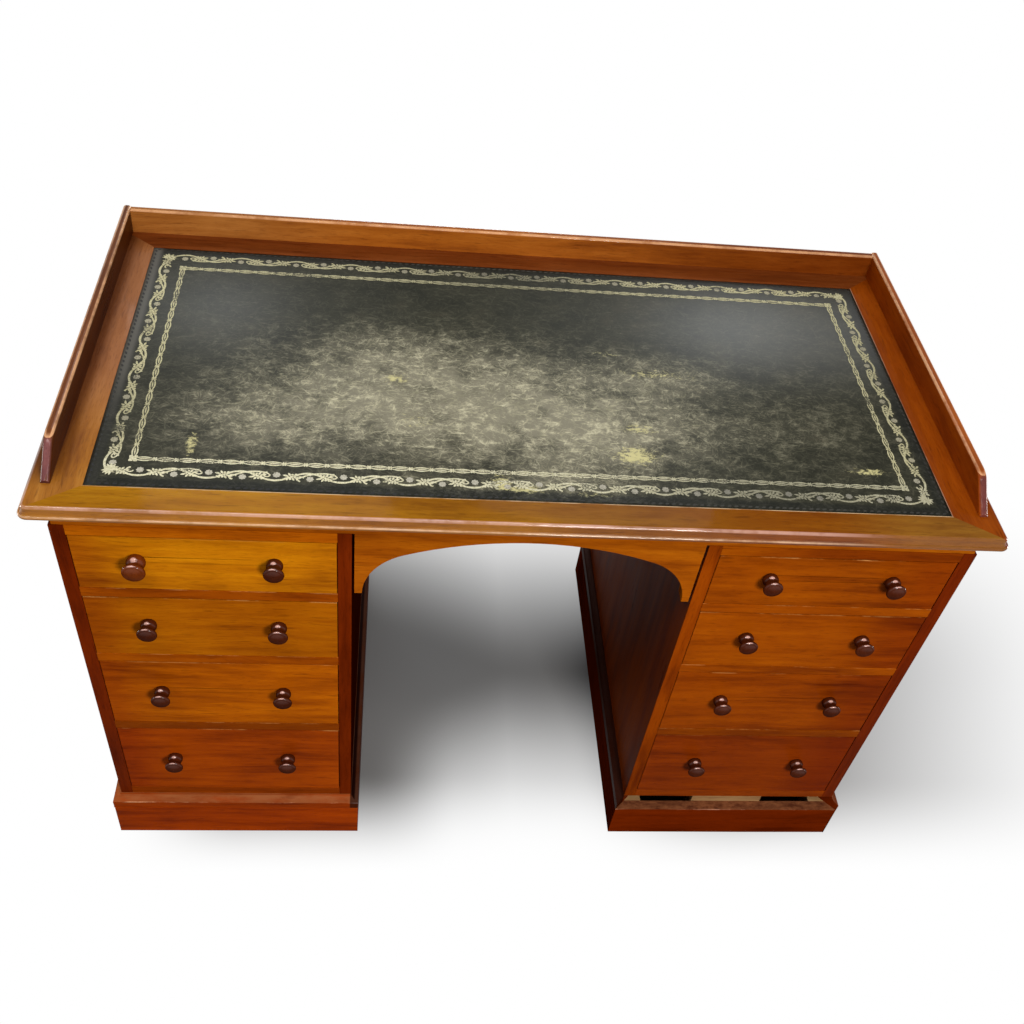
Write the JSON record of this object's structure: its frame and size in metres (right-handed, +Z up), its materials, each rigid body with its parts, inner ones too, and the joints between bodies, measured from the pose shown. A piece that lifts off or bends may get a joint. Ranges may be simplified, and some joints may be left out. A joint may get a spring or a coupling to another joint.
{
  "type": "pedestal desk",
  "caption": "Kneehole pedestal desk with a leather-lined top, low gallery, arched apron and stacked sliding drawers with turned knobs.",
  "frame": {"origin": "middle of the footprint's bounding box, on the floor, with the drawers closed", "axes": "+X along the top to the sitter's right, +Y from the drawer fronts to the back, +Z up"},
  "size_m": [1.229, 0.62, 0.8],
  "materials": {
    "mahogany_top": "worn polish",
    "mahogany_carcass": "worn polish",
    "mahogany_drawer_front": "polished",
    "dark_knob": "gloss, stained dark",
    "brown_knob": "gloss, stained brown",
    "drawer_lining": "bare, darkened",
    "secondary_wood": "bare",
    "leather": "worn dark green hide with a gilt tooled border",
    "screw_steel": "dull"
  },
  "bodies": {
    "desk": {"apron_glue_blocks": "secondary_wood", "arched_apron": "mahogany_carcass", "drawer_stops": "secondary_wood", "gallery_back": "mahogany_top", "gallery_left": "mahogany_top", "gallery_right": "mahogany_top", "leather_writing_surface": "leather", "pedestal_left_back": "secondary_wood", "pedestal_left_bottom_board": "mahogany_carcass", "pedestal_left_drawer_dividers": "mahogany_carcass", "pedestal_left_drawer_runners": "secondary_wood", "pedestal_left_inner_side": "mahogany_carcass", "pedestal_left_outer_side": "mahogany_carcass", "pedestal_left_top_board": "mahogany_carcass", "pedestal_right_back": "secondary_wood", "pedestal_right_bottom_board": "mahogany_carcass", "pedestal_right_drawer_dividers": "mahogany_carcass", "pedestal_right_drawer_runners": "secondary_wood", "pedestal_right_inner_side": "mahogany_carcass", "pedestal_right_outer_side": "mahogany_carcass", "pedestal_right_top_board": "mahogany_carcass", "plinth_glue_blocks": "secondary_wood", "plinth_left_boards": "mahogany_carcass", "plinth_left_moulding": "mahogany_carcass", "plinth_right_boards": "mahogany_carcass", "plinth_right_moulding": "mahogany_carcass", "top_back_batten": "secondary_wood", "top_border_back": "mahogany_top", "top_border_front": "mahogany_top", "top_border_left": "mahogany_top", "top_border_right": "mahogany_top", "top_cross_battens": "secondary_wood", "top_end_battens": "secondary_wood", "top_panel": "secondary_wood", "top_screws": "screw_steel"},
    "drawer_left_1": {"drawer_left_1_box": "drawer_lining", "drawer_left_1_front": "mahogany_drawer_front", "drawer_left_1_knobs": "dark_knob", "drawer_left_1_large_knob": "brown_knob"},
    "drawer_left_2": {"drawer_left_2_box": "drawer_lining", "drawer_left_2_front": "mahogany_drawer_front", "drawer_left_2_knobs": "dark_knob"},
    "drawer_left_3": {"drawer_left_3_box": "drawer_lining", "drawer_left_3_front": "mahogany_drawer_front", "drawer_left_3_knobs": "dark_knob"},
    "drawer_left_4": {"drawer_left_4_box": "drawer_lining", "drawer_left_4_front": "mahogany_drawer_front", "drawer_left_4_knobs": "dark_knob"},
    "drawer_right_1": {"drawer_right_1_box": "drawer_lining", "drawer_right_1_front": "mahogany_drawer_front", "drawer_right_1_knobs": "dark_knob"},
    "drawer_right_2": {"drawer_right_2_box": "drawer_lining", "drawer_right_2_front": "mahogany_drawer_front", "drawer_right_2_knobs": "dark_knob"},
    "drawer_right_3": {"drawer_right_3_box": "drawer_lining", "drawer_right_3_front": "mahogany_drawer_front", "drawer_right_3_knobs": "dark_knob"},
    "drawer_right_4": {"drawer_right_4_box": "drawer_lining", "drawer_right_4_front": "mahogany_drawer_front", "drawer_right_4_knobs": "dark_knob"}
  },
  "joints": [
    {"name": "drawer_left_1_slide", "type": "slide", "parent": "desk", "child": "drawer_left_1", "axis": [0, -1, 0], "range_m": [0, 0.4]},
    {"name": "drawer_left_2_slide", "type": "slide", "parent": "desk", "child": "drawer_left_2", "axis": [0, -1, 0], "range_m": [0, 0.4]},
    {"name": "drawer_left_3_slide", "type": "slide", "parent": "desk", "child": "drawer_left_3", "axis": [0, -1, 0], "range_m": [0, 0.4]},
    {"name": "drawer_left_4_slide", "type": "slide", "parent": "desk", "child": "drawer_left_4", "axis": [0, -1, 0], "range_m": [0, 0.4]},
    {"name": "drawer_right_1_slide", "type": "slide", "parent": "desk", "child": "drawer_right_1", "axis": [0, -1, 0], "range_m": [0, 0.4]},
    {"name": "drawer_right_2_slide", "type": "slide", "parent": "desk", "child": "drawer_right_2", "axis": [0, -1, 0], "range_m": [0, 0.4]},
    {"name": "drawer_right_3_slide", "type": "slide", "parent": "desk", "child": "drawer_right_3", "axis": [0, -1, 0], "range_m": [0, 0.4]},
    {"name": "drawer_right_4_slide", "type": "slide", "parent": "desk", "child": "drawer_right_4", "axis": [0, -1, 0], "range_m": [0, 0.4]}
  ]
}
